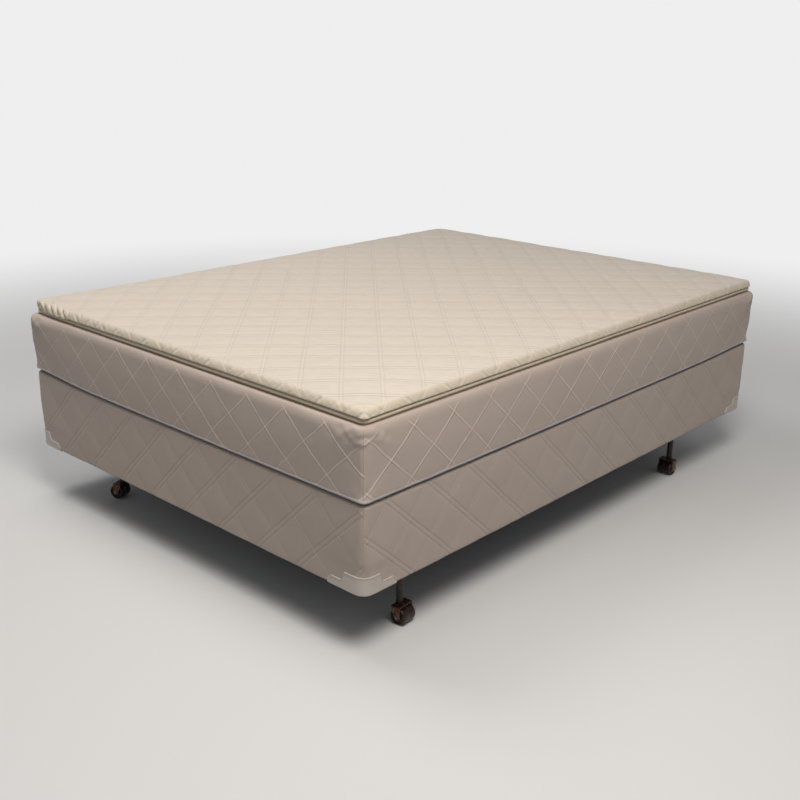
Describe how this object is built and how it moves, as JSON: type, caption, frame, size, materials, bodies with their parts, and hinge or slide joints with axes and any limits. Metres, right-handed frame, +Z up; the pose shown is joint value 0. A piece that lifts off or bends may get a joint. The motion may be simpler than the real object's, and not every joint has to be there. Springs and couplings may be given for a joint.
{
  "type": "waterbed",
  "caption": "Softside waterbed: zip-off pillow top over a foam-walled casing with a water bladder, on a fabric box foundation and a steel angle frame with wide swivelling rollers.",
  "frame": {"origin": "on the floor under the centre of the bed", "axes": "+X along the bed towards its head, +Y to its left side as seen from the foot, +Z up"},
  "size_m": [2.048, 1.54, 0.684],
  "materials": {
    "knit": "quilted cream knit with fine ribs",
    "knit_side": "quilted beige knit with a diamond lattice",
    "edge_tape": "silver-grey satin tape",
    "zipper_tape": "woven zipper tape",
    "zipper_metal": "satin",
    "fibre": "loose polyester fibre",
    "foam": "open-cell foam",
    "liner": "matt vinyl sheet",
    "vinyl": "soft glossy vinyl",
    "water": "water, counted at 1000 kg per cubic metre",
    "heater": "matt sheet",
    "black_plastic": "moulded, matt",
    "white_plastic": "moulded, satin",
    "pine": "sawn",
    "plywood": "sanded",
    "dust_cover": "spun-bonded black cloth",
    "brown_steel": "dark brown powder coat",
    "yoke_steel": "bronze lacquer",
    "roller": "moulded, worn satin",
    "axle_steel": "brushed"
  },
  "bodies": {
    "bed_base": {"casing_cover": "knit_side", "bottom_edge_tape": "edge_tape", "zipper_band": "zipper_tape", "base_foam": "foam", "foam_wall_right": "foam", "foam_wall_left": "foam", "foam_wall_foot": "foam", "foam_wall_head": "foam", "safety_liner": "liner", "bladder": "vinyl", "fibre_baffle": "fibre", "water_fill": "water", "heater_pad": "heater", "heater_gland": "black_plastic", "foundation_cover": "knit_side", "side_board_right": "pine", "side_board_left": "pine", "end_board_foot": "pine", "end_board_head": "pine", "centre_beam": "pine", "deck_panel": "plywood", "dust_cover": "dust_cover", "corner_guard_foot_right": "white_plastic", "corner_guard_head_right": "white_plastic", "corner_guard_foot_left": "white_plastic", "corner_guard_head_left": "white_plastic", "side_rail_right": "brown_steel", "side_rail_left": "brown_steel", "cross_rail_foot": "brown_steel", "cross_rail_middle": "brown_steel", "cross_rail_head": "brown_steel", "leg_foot_right": "brown_steel", "leg_head_right": "brown_steel", "leg_foot_left": "brown_steel", "leg_head_left": "brown_steel", "centre_leg": "brown_steel", "caster_socket_foot_right": "black_plastic", "caster_socket_head_right": "black_plastic", "caster_socket_foot_left": "black_plastic", "caster_socket_head_left": "black_plastic"},
    "pillow_top": {"pillow_top_cover": "knit", "pillow_top_fill": "fibre"},
    "slider": {"zipper_slider": "zipper_metal"},
    "pull_tab": {"zipper_pull": "zipper_metal"},
    "filler_cap": {"fill_cap": "vinyl"},
    "glide": {"centre_glide": "black_plastic"},
    "caster_foot_right": {"caster_yoke_foot_right": "yoke_steel", "caster_axle_foot_right": "axle_steel"},
    "caster_head_right": {"caster_yoke_head_right": "yoke_steel", "caster_axle_head_right": "axle_steel"},
    "caster_foot_left": {"caster_yoke_foot_left": "yoke_steel", "caster_axle_foot_left": "axle_steel"},
    "caster_head_left": {"caster_yoke_head_left": "yoke_steel", "caster_axle_head_left": "axle_steel"},
    "roller_foot_right": {"caster_roller_foot_right": "roller"},
    "roller_head_right": {"caster_roller_head_right": "roller"},
    "roller_foot_left": {"caster_roller_foot_left": "roller"},
    "roller_head_left": {"caster_roller_head_left": "roller"}
  },
  "joints": [
    {"name": "pillow_top_lift", "type": "slide", "parent": "bed_base", "child": "pillow_top", "axis": [0, 0, 1], "range_m": [0, 0.3]},
    {"name": "zipper_slider_run", "type": "slide", "parent": "bed_base", "child": "slider", "axis": [0, 1, 0], "range_m": [0, 1.2]},
    {"name": "zipper_pull_turn", "type": "hinge", "parent": "slider", "child": "pull_tab", "pos_m": [1.014, -0.6, 0.6455], "axis": [0, 0, -1], "range_deg": [0, 175]},
    {"name": "fill_cap_turn", "type": "hinge", "parent": "bed_base", "child": "filler_cap", "pos_m": [-0.64, 0, 0.6365], "axis": [0, 0, 1], "range_deg": [0, 720]},
    {"name": "centre_glide_turn", "type": "hinge", "parent": "bed_base", "child": "glide", "pos_m": [-0.0927, -0.071, 0], "axis": [0, 0, 1], "range_deg": [-720, 720]},
    {"name": "caster_swivel_foot_right", "type": "hinge", "parent": "bed_base", "child": "caster_foot_right", "pos_m": [-0.801, -0.686, 0], "axis": [0, 0, 1], "continuous": true},
    {"name": "caster_swivel_head_right", "type": "hinge", "parent": "bed_base", "child": "caster_head_right", "pos_m": [0.649, -0.686, 0], "axis": [0, 0, 1], "continuous": true},
    {"name": "caster_swivel_foot_left", "type": "hinge", "parent": "bed_base", "child": "caster_foot_left", "pos_m": [-0.861, 0.544, 0], "axis": [0, 0, 1], "continuous": true},
    {"name": "caster_swivel_head_left", "type": "hinge", "parent": "bed_base", "child": "caster_head_left", "pos_m": [0.589, 0.544, 0], "axis": [0, 0, 1], "continuous": true},
    {"name": "caster_roll_foot_right", "type": "hinge", "parent": "caster_foot_right", "child": "roller_foot_right", "pos_m": [-0.79995, -0.69795, 0.02479], "axis": [0.9962, 0.0872, 0], "continuous": true},
    {"name": "caster_roll_head_right", "type": "hinge", "parent": "caster_head_right", "child": "roller_head_right", "pos_m": [0.637, -0.686, 0.02479], "axis": [0, 1, 0], "continuous": true},
    {"name": "caster_roll_foot_left", "type": "hinge", "parent": "caster_foot_left", "child": "roller_foot_left", "pos_m": [-0.8655, 0.55513, 0.02479], "axis": [-0.9272, -0.3746, 0], "continuous": true},
    {"name": "caster_roll_head_left", "type": "hinge", "parent": "caster_head_left", "child": "roller_head_left", "pos_m": [0.589, 0.556, 0.02479], "axis": [1, 0, 0], "continuous": true}
  ]
}
